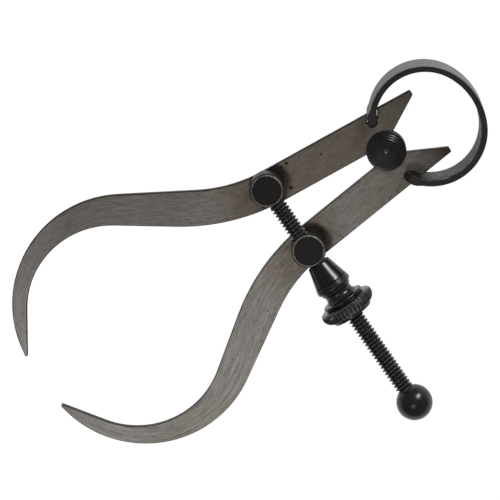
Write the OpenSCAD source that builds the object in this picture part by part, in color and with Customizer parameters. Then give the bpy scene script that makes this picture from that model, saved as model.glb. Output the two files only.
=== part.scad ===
// Outside spring caliper, nominal 100 mm: two bowed flat legs on a grooved
// fulcrum roller, a bow spring behind it, and an adjusting screw held in two
// swivel posts that stand on the front faces of the legs.
// Millimetres. Origin: on the fulcrum axis, at the back face of the roller.
// +X points to the measuring tips, +Y to the nut and the ball, +Z to the front.

/* [Legs] */
// Thickness of each flat leg
leg_thickness = 2.2; // [1.6:0.1:3.2]
// Width of the straight part of each leg
leg_width = 9.6; // [8:0.05:12]
// Distance of the inner edge from the fulcrum axis
inner_offset = 1.55; // [1.2:0.05:1.8]
// Angle between each leg's straight part and the centre line, as stored
rest_half_angle = 5.1; // [2:0.1:12]
// Straight length of the inner edge, from the fulcrum axis
inner_straight = 30; // [27:0.5:34]
// Radius where the inner edge bends outwards
inner_flare_radius = 57; // [50:1:64]
// How far the inner edge bends outwards
inner_flare_angle = 30.4; // [28:0.2:33]
// Slanting length of the inner edge before the belly
inner_slant = 16.6; // [14:0.2:19]
// Radius of the inside of the belly
inner_belly_radius = 23.1; // [21:0.1:25]
// How far the inside of the belly turns back
inner_belly_angle = 90.4; // [88:0.2:92]
// Straight length of the outer edge in front of the fulcrum axis
outer_straight = 31.8; // [29:0.2:35]
// Radius where the outer edge bends outwards
outer_flare_radius = 39.5; // [34:0.5:46]
// How far the outer edge bends outwards
outer_flare_angle = 26.2; // [25:0.2:28]
// Slanting length of the outer edge before the belly
outer_slant = 21.2; // [19:0.2:23]
// Radius of the outside of the belly
outer_belly_radius = 30.1; // [29:0.1:31]
// How far the outside of the belly turns back
outer_belly_angle = 111.2; // [109:0.2:112]
// Radius of the rounded measuring tip
tip_radius = 0.35; // [0.25:0.05:0.6]
// Length of the straight nose between the belly and the tip
tip_length = 1.6; // [1.2:0.1:2.2]
// Reach of the horn behind the fulcrum axis, along the leg
horn_reach = 13.2; // [11:0.2:14.4]
// Height of the blunt end of the horn
horn_blunt = 1.4; // [0.8:0.1:2]

/* [Bow spring] */
// Width of the spring strip
bow_width = 14.1; // [11:0.1:15]
// Thickness of the spring strip
bow_thickness = 1.7; // [1.2:0.05:1.8]
// Distance of the bow's middle behind the fulcrum axis
bow_back = 13.2; // [12.7:0.1:13.5]
// Half length of the bow along the centre line, outside
bow_half_length = 15.15; // [14.95:0.05:15.3]
// Half width of the bow across the centre line, outside
bow_half_width = 16.4; // [16.15:0.05:16.6]
// Outside radius of the two sides of the bow
bow_side_radius = 14.75; // [14.6:0.05:14.85]
// Angle at which each side of the bow ends
bow_end_angle = 26; // [24:0.5:28]
// Angle of the bow along which the prongs thin out towards their ends
prong_taper = 9; // [6:0.5:12]
// Thickness of the prongs at their ends
prong_end = 0.9; // [0.6:0.1:1.2]
// Radius of the rounded corners of the forked ends
fork_round = 1.6; // [0.8:0.1:2]
// Depth of the leg notches that seat the bow
notch_depth = 2.25; // [2:0.05:2.5]

/* [Fulcrum roller] */
// Diameter of the two flanges
flange_diameter = 10.7; // [9.5:0.1:12]
// Thickness of each flange
flange_thickness = 1.3; // [1:0.1:1.8]
// Diameter of the core on which the legs roll
core_diameter = 5.2; // [4.6:0.1:6]
// Diameter of the centre mark
centre_mark = 1; // [0.6:0.1:1.6]

/* [Swivel posts] */
// Distance of the posts along the leg from the fulcrum axis
post_along = 32.45; // [30:0.05:34]
// Distance of the posts across the leg from the fulcrum axis
post_across = 6.94; // [6:0.02:7.2]
// Diameter of the post heads
head_diameter = 9.2; // [8.6:0.1:9.8]
// Diameter of the flat on top of each post head
head_face = 8.2; // [6.4:0.1:8.4]
// Height of the bevel round the top of each post head
head_bevel = 0.6; // [0.6:0.1:1.2]
// Metal left above the screw hole
head_cover = 0.5; // [0.3:0.05:1]
// Diameter of the shank that turns in the leg
shank_diameter = 5; // [4:0.1:5.6]
// Diameter of the back washers
washer_diameter = 8.4; // [7.6:0.1:9]
// Thickness of the back washers
washer_thickness = 0.8; // [0.5:0.1:1.2]
// Height of the peened shank end behind the washer
peen_height = 0.6; // [0.4:0.1:0.9]

/* [Adjusting screw] */
// Thread diameter, 3/16 inch by 24 threads per inch
screw_diameter = 4.76; // [4:0.01:5]
// Height of the screw axis above the legs' front faces
screw_lift = 3.4; // [3.3:0.1:3.8]
// Diameter of the screw's plain end in the anchor post
spigot_diameter = 3.8; // [3:0.1:4.2]
// Diameter of the ball at the free end
ball_diameter = 9.8; // [8:0.1:11]
// Distance of the ball's middle from the guide post, as stored
ball_distance = 50.46; // [48:0.02:56]

/* [Thrust sleeve] */
// Diameter at the post
sleeve_small = 6.3; // [5.8:0.1:6.5]
// Diameter at the nut
sleeve_large = 9.2; // [8.4:0.1:9.6]
// Length of the tapered sleeve
sleeve_length = 5.7; // [5:0.1:6.4]

/* [Knurled nut] */
// Diameter of the bead that bears on the sleeve
bead_diameter = 9.9; // [9.2:0.1:10.6]
// Length of the bead
bead_length = 2.5; // [2:0.1:3]
// Least diameter of the hollow neck
neck_diameter = 7.6; // [7:0.1:8.2]
// Length of the hollow neck
neck_length = 2.8; // [2.4:0.1:3.2]
// Diameter of the shoulder below the knurl
shoulder_diameter = 11.7; // [10.5:0.1:12.6]
// Thickness of the shoulder
shoulder_thickness = 1.2; // [0.8:0.1:1.5]
// Diameter over the knurl
knurl_diameter = 15.4; // [14:0.1:17]
// Thickness of the knurled flange
knurl_thickness = 3.5; // [2.8:0.1:4.2]
// Height of the bevel on each side of the knurl
knurl_bevel = 0.8; // [0.5:0.1:1]
// Number of knurl teeth
knurl_teeth = 40; // [30:1:48]
// Depth of the knurl
knurl_depth = 0.45; // [0.3:0.05:0.6]
// Diameter of the outer lip
lip_diameter = 11.4; // [10:0.1:12]
// Height of the outer lip
lip_height = 0.9; // [0.5:0.1:1.2]

/* [Hidden] */
$fn = 96;

// Running clearance between pieces that turn or slide on each other
running = 0.03;
// Angular step of the outlines' arcs
arc_step = 3;

// Heights of the flat layers
leg_back = flange_thickness + running;
leg_front = leg_back + leg_thickness;
leg_middle = (leg_back + leg_front) / 2;
screw_z = leg_front + screw_lift;
head_base = leg_front + running;
head_top = screw_z + screw_diameter / 2 + head_cover;

// Leg outline, in the leg's own frame: the straight part runs along +X
outer_line = inner_offset + leg_width;
notch_floor = outer_line - notch_depth;

function along(angle) = [cos(angle), sin(angle)];
function leftward(angle) = [-sin(angle), cos(angle)];
function arc(centre, radius, from, to) =
    let (steps = ceil(abs(to - from) / arc_step))
    [for (i = [0 : steps]) centre + radius * along(from + (to - from) * i / steps)];

outer_flare_centre = [outer_straight, outer_line + outer_flare_radius];
outer_flare = arc(outer_flare_centre, outer_flare_radius, -90, outer_flare_angle - 90);
outer_bend_end = outer_flare[len(outer_flare) - 1] + outer_slant * along(outer_flare_angle);
outer_belly_centre = outer_bend_end - outer_belly_radius * leftward(outer_flare_angle);
outer_heading = outer_flare_angle - outer_belly_angle;
outer_belly = arc(outer_belly_centre, outer_belly_radius, outer_flare_angle + 90, outer_heading + 90);
nose_outer = outer_belly[len(outer_belly) - 1] + tip_length * along(outer_heading);
tip_centre = nose_outer - tip_radius * leftward(outer_heading);

inner_flare_centre = [inner_straight, inner_offset + inner_flare_radius];
inner_flare = arc(inner_flare_centre, inner_flare_radius, -90, inner_flare_angle - 90);
inner_bend_end = inner_flare[len(inner_flare) - 1] + inner_slant * along(inner_flare_angle);
inner_belly_centre = inner_bend_end - inner_belly_radius * leftward(inner_flare_angle);
inner_heading = inner_flare_angle - inner_belly_angle;
inner_belly = arc(inner_belly_centre, inner_belly_radius, inner_flare_angle + 90, inner_heading + 90);

// The inner edge leaves the belly for the near side of the round tip
inner_belly_end = inner_belly[len(inner_belly) - 1];
to_tip = tip_centre - inner_belly_end;
tip_heading = atan2(to_tip[1], to_tip[0]) - asin(tip_radius / norm(to_tip));
tip_round = arc(tip_centre, tip_radius, outer_heading + 90, tip_heading - 90);

horn = [[-0.8, inner_offset], [-horn_reach - 0.2, outer_line - horn_blunt], [-horn_reach, outer_line]];

function reversed(points) = [for (i = [len(points) - 1 : -1 : 0]) points[i]];
leg_outline = concat(horn, outer_flare, outer_belly, tip_round, reversed(inner_belly), reversed(inner_flare));

// Posts and screw, in the frame of the whole part
post_reach = norm([post_along, post_across]);
post_half_angle = rest_half_angle + atan2(post_across, post_along);
post_x = post_reach * cos(post_half_angle);
post_y = post_reach * sin(post_half_angle);
spigot_depth = 2.5;
neck_start = head_diameter / 2 + 0.4;
ball_z = 2 * post_y + ball_distance;
screw_bore = screw_diameter / 2 + 0.05;

// Sleeve and nut, along the screw from the guide post
sleeve_start = head_diameter / 2 + running;
nut_start = sleeve_start + sleeve_length + running;
neck_at = nut_start + bead_length;
shoulder_at = neck_at + neck_length;
knurl_at = shoulder_at + shoulder_thickness;
lip_at = knurl_at + knurl_thickness;
nut_end = lip_at + lip_height;

// Bow: a flatter arc behind and a rounder arc on each side, all tangent
bow_split = bow_half_width - bow_side_radius;
bow_back_radius = (pow(bow_half_length, 2) + pow(bow_split, 2) - pow(bow_side_radius, 2))
    / (2 * (bow_half_length - bow_side_radius));
bow_shift = bow_back_radius - bow_half_length;
bow_join_angle = 180 - atan2(bow_split, bow_shift);
bow_seat = 0.02;
fork_gap = leg_thickness + 0.1;

// Where a face of the bow's strip crosses a height in the leg's own frame; the notch's walls follow it
strip_centre = [bow_split * sin(rest_half_angle) - bow_back * cos(rest_half_angle),
                bow_back * sin(rest_half_angle) + bow_split * cos(rest_half_angle)];
function strip_at(inset, height) =
    strip_centre[0] + sqrt(max(0.01, pow(bow_side_radius - inset, 2) - pow(height - strip_centre[1], 2)));
notch_mouth = outer_line + 0.5;
notch_outline = [[strip_at(bow_thickness, notch_mouth) - 0.2, notch_mouth],
                 [strip_at(bow_thickness, notch_floor) - 0.75, notch_floor],
                 [strip_at(0, notch_floor) + 0.4, notch_floor],
                 [strip_at(0, notch_mouth) + 0.5, notch_mouth]];

module leg_plate() {
    translate([0, 0, leg_back])
        linear_extrude(leg_thickness)
            difference() {
                polygon(leg_outline);
                polygon(notch_outline);
                circle(d = core_diameter + 2 * running);
                translate([post_along, post_across])
                    circle(d = shank_diameter + 2 * running);
            }
}

module leg_upper() {
    color([0.62, 0.6, 0.57])
        mirror([0, 1, 0])
            rotate([0, 0, rest_half_angle])
                leg_plate();
}

module leg_lower() {
    color([0.62, 0.6, 0.57])
        rotate([0, 0, rest_half_angle])
            leg_plate();
}

// One face of the strip, seen along Z, from one end round the back to the other
function bow_face(inset) =
    let (end_radius = bow_side_radius - bow_thickness / 2 + (inset > 0 ? -prong_end : prong_end) / 2,
         taper_from = bow_end_angle + prong_taper,
         side = arc([0, bow_split], bow_side_radius - inset, taper_from, bow_join_angle),
         back = arc([bow_shift, 0], bow_back_radius - inset, bow_join_angle, 360 - bow_join_angle),
         far_side = arc([0, -bow_split], bow_side_radius - inset, 360 - bow_join_angle, 360 - taper_from))
    concat([[0, bow_split] + end_radius * along(bow_end_angle)], side, [for (i = [1 : len(back) - 2]) back[i]],
           far_side, [[0, -bow_split] + end_radius * along(-bow_end_angle)]);

module bow_plan() {
    polygon(concat(bow_face(0), reversed(bow_face(bow_thickness))));
}

// Waste outside one rounded corner of a fork prong; x runs to the prong's end, y through the strip
module corner_waste(radius) {
    rim = [for (turn = [0 : 15 : 90]) radius * (along(turn) - [1, 1])];
    rotate([90, 0, 0])
        linear_extrude(3 * bow_thickness, center = true)
            polygon(concat([[1, -radius]], rim, [[-radius, 1], [1, 1]]));
}

// What is cut from one end of the strip: the slot for the leg and the prongs' outer corners
module fork_waste() {
    rotate([0, 0, rest_half_angle])
        translate([-6, 0, -fork_gap / 2])
            cube([12, notch_floor + bow_seat, fork_gap]);
    translate([-bow_back, bow_split, 0])
        rotate([0, 0, bow_end_angle])
            translate([bow_side_radius - bow_thickness / 2, 0, 0])
                rotate([0, 0, -90])
                    for (side = [0, 1])
                        mirror([0, 0, side])
                            translate([0, 0, bow_width / 2])
                                corner_waste(fork_round);
}

module bow_spring() {
    color([0.4, 0.4, 0.4])
        translate([0, 0, leg_middle])
            difference() {
                translate([-bow_back, 0, -bow_width / 2])
                    linear_extrude(bow_width)
                        bow_plan();
                fork_waste();
                mirror([0, 1, 0])
                    fork_waste();
            }
}

module fulcrum_roller() {
    edge = 0.2;
    flange = flange_diameter / 2;
    core = core_diameter / 2;
    front = leg_front + running;
    top = front + flange_thickness;
    mark = centre_mark / 2;
    color([0.17, 0.17, 0.18])
        rotate_extrude()
            polygon([[0, 0], [flange - edge, 0], [flange, edge], [flange, flange_thickness],
                     [core, flange_thickness], [core, front], [flange, front], [flange, top - edge],
                     [flange - edge, top], [mark, top], [0, top - mark / 2]]);
}

// Turned post: head, shank and peened end, before its cross hole
module post_blank() {
    head = head_diameter / 2;
    shank = shank_diameter / 2;
    washer_back = leg_back - running - washer_thickness;
    rotate_extrude()
        polygon([[0, washer_back - peen_height], [shank * 0.6, washer_back - peen_height],
                 [shank * 1.15, washer_back - peen_height * 0.4], [shank * 1.15, washer_back],
                 [shank, washer_back], [shank, head_base], [head, head_base],
                 [head, head_top - head_bevel], [head_face / 2, head_top], [0, head_top]]);
}

module anchor_post() {
    color([0.2, 0.2, 0.21])
        translate([post_x, -post_y, 0])
            difference() {
                post_blank();
                translate([0, -spigot_depth, screw_z])
                    rotate([-90, 0, 0])
                        cylinder(d = spigot_diameter, h = spigot_depth + head_diameter);
            }
}

module guide_post() {
    color([0.2, 0.2, 0.21])
        translate([post_x, post_y, 0])
            difference() {
                post_blank();
                translate([0, 0, screw_z])
                    rotate([90, 0, 0])
                        cylinder(r = screw_bore, h = 2 * head_diameter, center = true);
            }
}

module washer() {
    translate([0, 0, leg_back - running - washer_thickness])
        linear_extrude(washer_thickness)
            difference() {
                circle(d = washer_diameter);
                circle(d = shank_diameter);
            }
}

module anchor_washer() {
    color([0.3, 0.3, 0.3])
        translate([post_x, -post_y, 0])
            washer();
}

module guide_washer() {
    color([0.3, 0.3, 0.3])
        translate([post_x, post_y, 0])
            washer();
}

// Turns +Z onto the screw's +Y
module on_screw(y) {
    translate([post_x, y, screw_z])
        rotate([-90, 0, 0])
            children();
}

module adjusting_screw() {
    core = screw_diameter / 2;
    spigot = spigot_diameter / 2;
    lead = 0.4;
    color([0.19, 0.19, 0.2])
        on_screw(-post_y) {
            rotate_extrude()
                polygon([[0, -spigot_depth], [spigot, -spigot_depth], [spigot, neck_start],
                         [core - lead, neck_start], [core, neck_start + lead], [core, ball_z], [0, ball_z]]);
            translate([0, 0, ball_z])
                sphere(d = ball_diameter);
        }
}

module thrust_sleeve() {
    color([0.19, 0.19, 0.2])
        on_screw(post_y)
            rotate_extrude()
                polygon([[screw_bore, sleeve_start], [sleeve_small / 2, sleeve_start],
                         [sleeve_large / 2, sleeve_start + sleeve_length],
                         [screw_bore, sleeve_start + sleeve_length]]);
}

// Half profile of the nut: bead, hollow neck, shoulder, knurled flange and outer lip
function nut_profile() =
    let (bead = bead_diameter / 2, neck = neck_diameter / 2, shoulder = shoulder_diameter / 2,
         knurl = knurl_diameter / 2, foot = knurl - 1.8 * knurl_bevel, lip = lip_diameter / 2,
         edge = 0.3, ease = bead_length / 4)
    [[screw_bore, nut_start], [bead - edge, nut_start], [bead, nut_start + edge], [bead - 0.1, neck_at - ease],
     [neck + 0.4, neck_at], [neck, neck_at + neck_length / 3], [neck, neck_at + neck_length * 2 / 3],
     [neck + 0.5, shoulder_at], [shoulder - edge, shoulder_at], [shoulder, shoulder_at + edge],
     [shoulder, knurl_at], [foot, knurl_at], [knurl, knurl_at + knurl_bevel], [knurl, lip_at - knurl_bevel],
     [foot, lip_at], [lip, lip_at], [lip, nut_end - edge], [lip - edge, nut_end], [screw_bore, nut_end]];

// One knurl groove, cut from just outside the flange down to the knurl depth
module knurl_groove() {
    knurl = knurl_diameter / 2;
    pitch_angle = 360 / knurl_teeth;
    half_mouth = (knurl + 1) * tan(pitch_angle * 0.38) + 0.15;
    linear_extrude(knurl_thickness + 0.2)
        polygon([[knurl - knurl_depth, 0], [knurl + 1, half_mouth], [knurl + 1, -half_mouth]]);
}

module knurled_nut() {
    color([0.19, 0.19, 0.2])
        on_screw(post_y)
            difference() {
                rotate_extrude()
                    polygon(nut_profile());
                for (tooth = [0 : knurl_teeth - 1])
                    rotate([0, 0, tooth * 360 / knurl_teeth])
                        translate([0, 0, knurl_at - 0.1])
                            knurl_groove();
            }
}

leg_upper();
leg_lower();
bow_spring();
fulcrum_roller();
anchor_post();
anchor_washer();
guide_post();
guide_washer();
adjusting_screw();
thrust_sleeve();
knurled_nut();
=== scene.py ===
"""Looks of an outside spring caliper: bare steel legs, a forked bow spring, and black turned fittings."""
import math

import bmesh
import bpy
from mathutils import Matrix, Vector


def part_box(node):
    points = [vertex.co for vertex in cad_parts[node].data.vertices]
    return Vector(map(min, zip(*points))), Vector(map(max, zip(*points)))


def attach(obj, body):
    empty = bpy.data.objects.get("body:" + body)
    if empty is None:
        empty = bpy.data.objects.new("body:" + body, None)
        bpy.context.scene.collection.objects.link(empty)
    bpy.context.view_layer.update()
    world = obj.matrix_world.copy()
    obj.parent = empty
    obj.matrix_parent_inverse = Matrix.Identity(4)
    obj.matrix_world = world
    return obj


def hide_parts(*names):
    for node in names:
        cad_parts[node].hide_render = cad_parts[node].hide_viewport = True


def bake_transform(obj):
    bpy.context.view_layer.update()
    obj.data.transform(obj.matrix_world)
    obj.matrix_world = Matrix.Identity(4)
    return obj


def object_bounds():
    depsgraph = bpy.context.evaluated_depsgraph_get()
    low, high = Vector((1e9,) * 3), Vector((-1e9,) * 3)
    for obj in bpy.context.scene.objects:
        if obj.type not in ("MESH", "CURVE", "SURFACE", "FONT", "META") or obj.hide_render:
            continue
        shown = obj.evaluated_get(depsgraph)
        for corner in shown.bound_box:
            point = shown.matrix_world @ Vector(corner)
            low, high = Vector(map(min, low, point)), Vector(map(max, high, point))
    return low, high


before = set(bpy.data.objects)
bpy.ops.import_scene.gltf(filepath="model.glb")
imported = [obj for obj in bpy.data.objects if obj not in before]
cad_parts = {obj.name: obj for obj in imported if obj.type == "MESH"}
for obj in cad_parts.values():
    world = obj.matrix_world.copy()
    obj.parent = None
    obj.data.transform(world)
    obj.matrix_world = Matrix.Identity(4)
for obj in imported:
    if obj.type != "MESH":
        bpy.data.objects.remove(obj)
CAD_LOW, CAD_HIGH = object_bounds()

MM = 0.001

# Sizes of the legs, as in the part's source, in millimetres and degrees
LEG_HALF_ANGLE = 5.1
LEG_INNER_OFFSET = 1.55
LEG_WIDTH = 9.6
# The line down the middle of a leg, which its grain follows: straight, flare, slant and belly
GRAIN_BEHIND = 20.0
GRAIN_STRAIGHT = 30.9
GRAIN_FLARE_RADIUS = 48.0
GRAIN_FLARE_ANGLE = 28.3
GRAIN_FLARE_STEPS = 8
GRAIN_SLANT = 18.9
GRAIN_BELLY_RADIUS = 26.6
GRAIN_BELLY_ANGLE = 100.8
GRAIN_BELLY_STEPS = 24
# The first and last stretch of that line may be drawn out to this many times their own length
GRAIN_PAST_END = 9.0
# A leg is sliced this finely, in metres, between these places along each axis
LEG_SLICE = 3 * MM
LEG_SLICE_SHIFT = 0.0007
LEG_SLICES = ((0, -0.02, 0.115), (1, -0.04, 0.04))
# A face of a leg that looks this squarely forwards or backwards is ground, and the others are filed
GROUND_FACING = 0.97

# Sizes of the bow's sides and forks, as in the part's source, in millimetres and degrees
BOW_BACK = 13.2
BOW_SPLIT = 1.65
BOW_SIDE_RADIUS = 14.75
BOW_THICKNESS = 1.7
BOW_MAP_RADIUS = 15.0
PRONG_END_ANGLE = 26.0
PRONG_TAPER = 9.0
PRONG_END = 0.9
# The forks lie in front of the first place along X, and the cut ends of their prongs in front of the second
FORK_FROM = -7 * MM
FORK_CUT_ENDS = -2.2 * MM
# The angles of the bow at which its forks are sliced, so that they can swell
FORK_SLICES = (28.5, 30, 31.5, 33, 34.5, 36, 38, 40, 42, 44.5)
# How far the strip reaches out and in from its middle at an angle of the bow, so that it fills the notch
FORK_FILL = [(26.0, 0.7, 0.6), (28.5, 1.0, 0.95), (31.5, 1.18, 1.38), (36.0, 1.26, 1.38),
             (40.0, 1.24, 1.24), (47.0, 0.85, 0.85)]
# A face of the strip that looks this squarely up or down is its rim
RIM_FACING = 0.9
# The bow is cut into this many pieces between two places round its loop, this many degrees from its open
# side.
# A seam's radius is taken at this share of the strip's thickness, near the pale outer face
BOW_PIECES = 9
BEND_START = 50.0
BEND_LINE = 0.75

# The thread is 3/16 inch with 24 turns to the inch
THREAD_CREST = 2.38 * MM
THREAD_PITCH = 25.4 / 24 * MM
THREAD_DEPTH = 0.62 * MM
THREAD_RINGS_PER_TURN = 12
THREAD_SEGMENTS = 32
# The sleeve and the nut leave a little room round the thread
BORE = 2.43

KNURL_TEETH = 40
KNURL_DEPTH = 0.42 * MM
KNURL_FADE = 0.4 * MM
KNURL_STEPS_PER_TOOTH = 8

# How CAD faces are cleaned and shaded: points this near are one, and angles in degrees
WELD = 0.002 * MM
ON_AXIS = 1e-7
FLAT_ANGLE = 0.6
SHARP_ANGLE = 28
CREASE_EASED = 50
CREASE_PLAIN = 26
LARGE_FACE_WEIGHT = 90

# The camera, fitted to the photograph: a pixel is this many millimetres at the fulcrum
PIXEL = 0.26738
IMAGE_SIZE = 500
VIEW_DISTANCE = 3500.0
VIEW_LEAN = 10.69
VIEW_LEAN_HEADING = 93.6
VIEW_HEADING = 145.546
FULCRUM_PIXEL = (386.21, 150.18)
SENSOR = 36.0

# The floor: half its side and its gap under the part in metres, how far it glows by itself, and how strongly
FLOOR_SIZE = 3.0
FLOOR_GAP = 0.0002
FLOOR_GLOW_SHARE = 0.93
FLOOR_GLOW = 1.07
STUDIO_LIGHT = 0.28

# Colours of stain and wear, and of the painted shade beside the posts and inside the bow's forks
THIN_STAIN = "#6F6154"
HEAVY_STAIN = "#5A4A39"
HORN_STAIN = "#352C26"
RUBBED_STEEL = "#BDB9B3"
# Painted shadow beside a post
PAINTED_POST_SHADOW = "#2A2520"
FRECKLE_RUST = "#4F3D2C"
PIT_RUST = "#2E241C"
# Painted shade inside the bow's forks
PAINTED_FORK_SHADE = "#12100E"
SCALE_SHINE = "#9C9C9C"
BARED_STEEL = "#A19E99"
WORN_BLACK = ("#0F0E0E", "#221F1D")
DEEP_BLACK = ("#080808", "#151413")

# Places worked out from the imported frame
ANCHOR_LOW, ANCHOR_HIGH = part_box("anchor_washer")
GUIDE_LOW, GUIDE_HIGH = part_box("guide_washer")
SCREW_LOW, SCREW_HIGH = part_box("adjusting_screw")
NUT_LOW, NUT_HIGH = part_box("knurled_nut")
SLEEVE_LOW, SLEEVE_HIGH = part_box("thrust_sleeve")
ROLLER_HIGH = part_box("fulcrum_roller")[1]
LEG_LOW, LEG_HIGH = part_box("leg_lower")
BOW_LOW, BOW_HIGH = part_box("bow_spring")

ANCHOR = (ANCHOR_LOW + ANCHOR_HIGH) / 2
GUIDE = (GUIDE_LOW + GUIDE_HIGH) / 2
LEG_MIDDLE = (LEG_LOW.z + LEG_HIGH.z) / 2
SCREW_Z = (NUT_LOW.z + NUT_HIGH.z) / 2
BALL_RADIUS = (SCREW_HIGH.z - SCREW_LOW.z) / 2
BALL_Y = SCREW_HIGH.y - BALL_RADIUS
BOW_CENTRE = Vector(((BOW_LOW.x + BOW_HIGH.x) / 2, 0.0, LEG_MIDDLE))
SCREW_AXIS = Vector((ANCHOR.x, 0.0, SCREW_Z))
# The directions square to an upright axis, and square to the screw
UPRIGHT = (1.0, 1.0, 0.0)
ALONG_SCREW = (1.0, 0.0, 1.0)


def linear(code):
    """An sRGB hex colour as linear red, green, blue and alpha."""
    values = [int(code[i:i + 2], 16) / 255 for i in (1, 3, 5)]
    return [v / 12.92 if v <= 0.04045 else ((v + 0.055) / 1.055) ** 2.4 for v in values] + [1.0]


def add(tree, kind, settings=None, links=None):
    """Adds a node; a setting is a socket's value where the node has that socket, else a property."""
    node = tree.nodes.new(kind)
    sockets = {}
    for key, value in (settings or {}).items():
        if isinstance(key, str) and hasattr(node, key):
            setattr(node, key, value)
        else:
            sockets[key] = value
    for key, value in sockets.items():
        node.inputs[key].default_value = value
    for key, socket in (links or {}).items():
        tree.links.new(socket, node.inputs[key])
    return node


def drawn_out(tree, grain, length, width, detail, rough):
    """Noise drawn out along the grain into marks of this length and width, in millimetres."""
    stretched = add(tree, "ShaderNodeMapping", {"Scale": (1 / length, 1 / width, 1)}, {"Vector": grain})
    marks = add(tree, "ShaderNodeTexNoise", {"Scale": 1.0, "Detail": detail, "Roughness": rough},
                {"Vector": stretched.outputs[0]})
    return marks.outputs[0]


def across_axis(tree, place, across):
    """A place with only the directions that across keeps, and how far that is from the axis."""
    square = add(tree, "ShaderNodeVectorMath", {"operation": "MULTIPLY", 1: across}, {0: place})
    radius = add(tree, "ShaderNodeVectorMath", {"operation": "LENGTH"}, {0: square.outputs[0]})
    return square.outputs[0], radius.outputs[1]


def new_material(name):
    """An empty material, and its tree."""
    material = bpy.data.materials.new(name)
    material.use_nodes = True
    material.node_tree.nodes.clear()
    return material, material.node_tree


def surface(tree, settings, colour, rough, height, strength, depth):
    """Ends a material with a shader of this colour, roughness and fine relief."""
    bump = add(tree, "ShaderNodeBump", {"Strength": strength, "Distance": depth}, {"Height": height})
    shader = add(tree, "ShaderNodeBsdfPrincipled", settings,
                 {"Base Color": colour, "Roughness": rough, "Normal": bump.outputs[0]})
    add(tree, "ShaderNodeOutputMaterial", None, {"Surface": shader.outputs[0]})
    return shader


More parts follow.
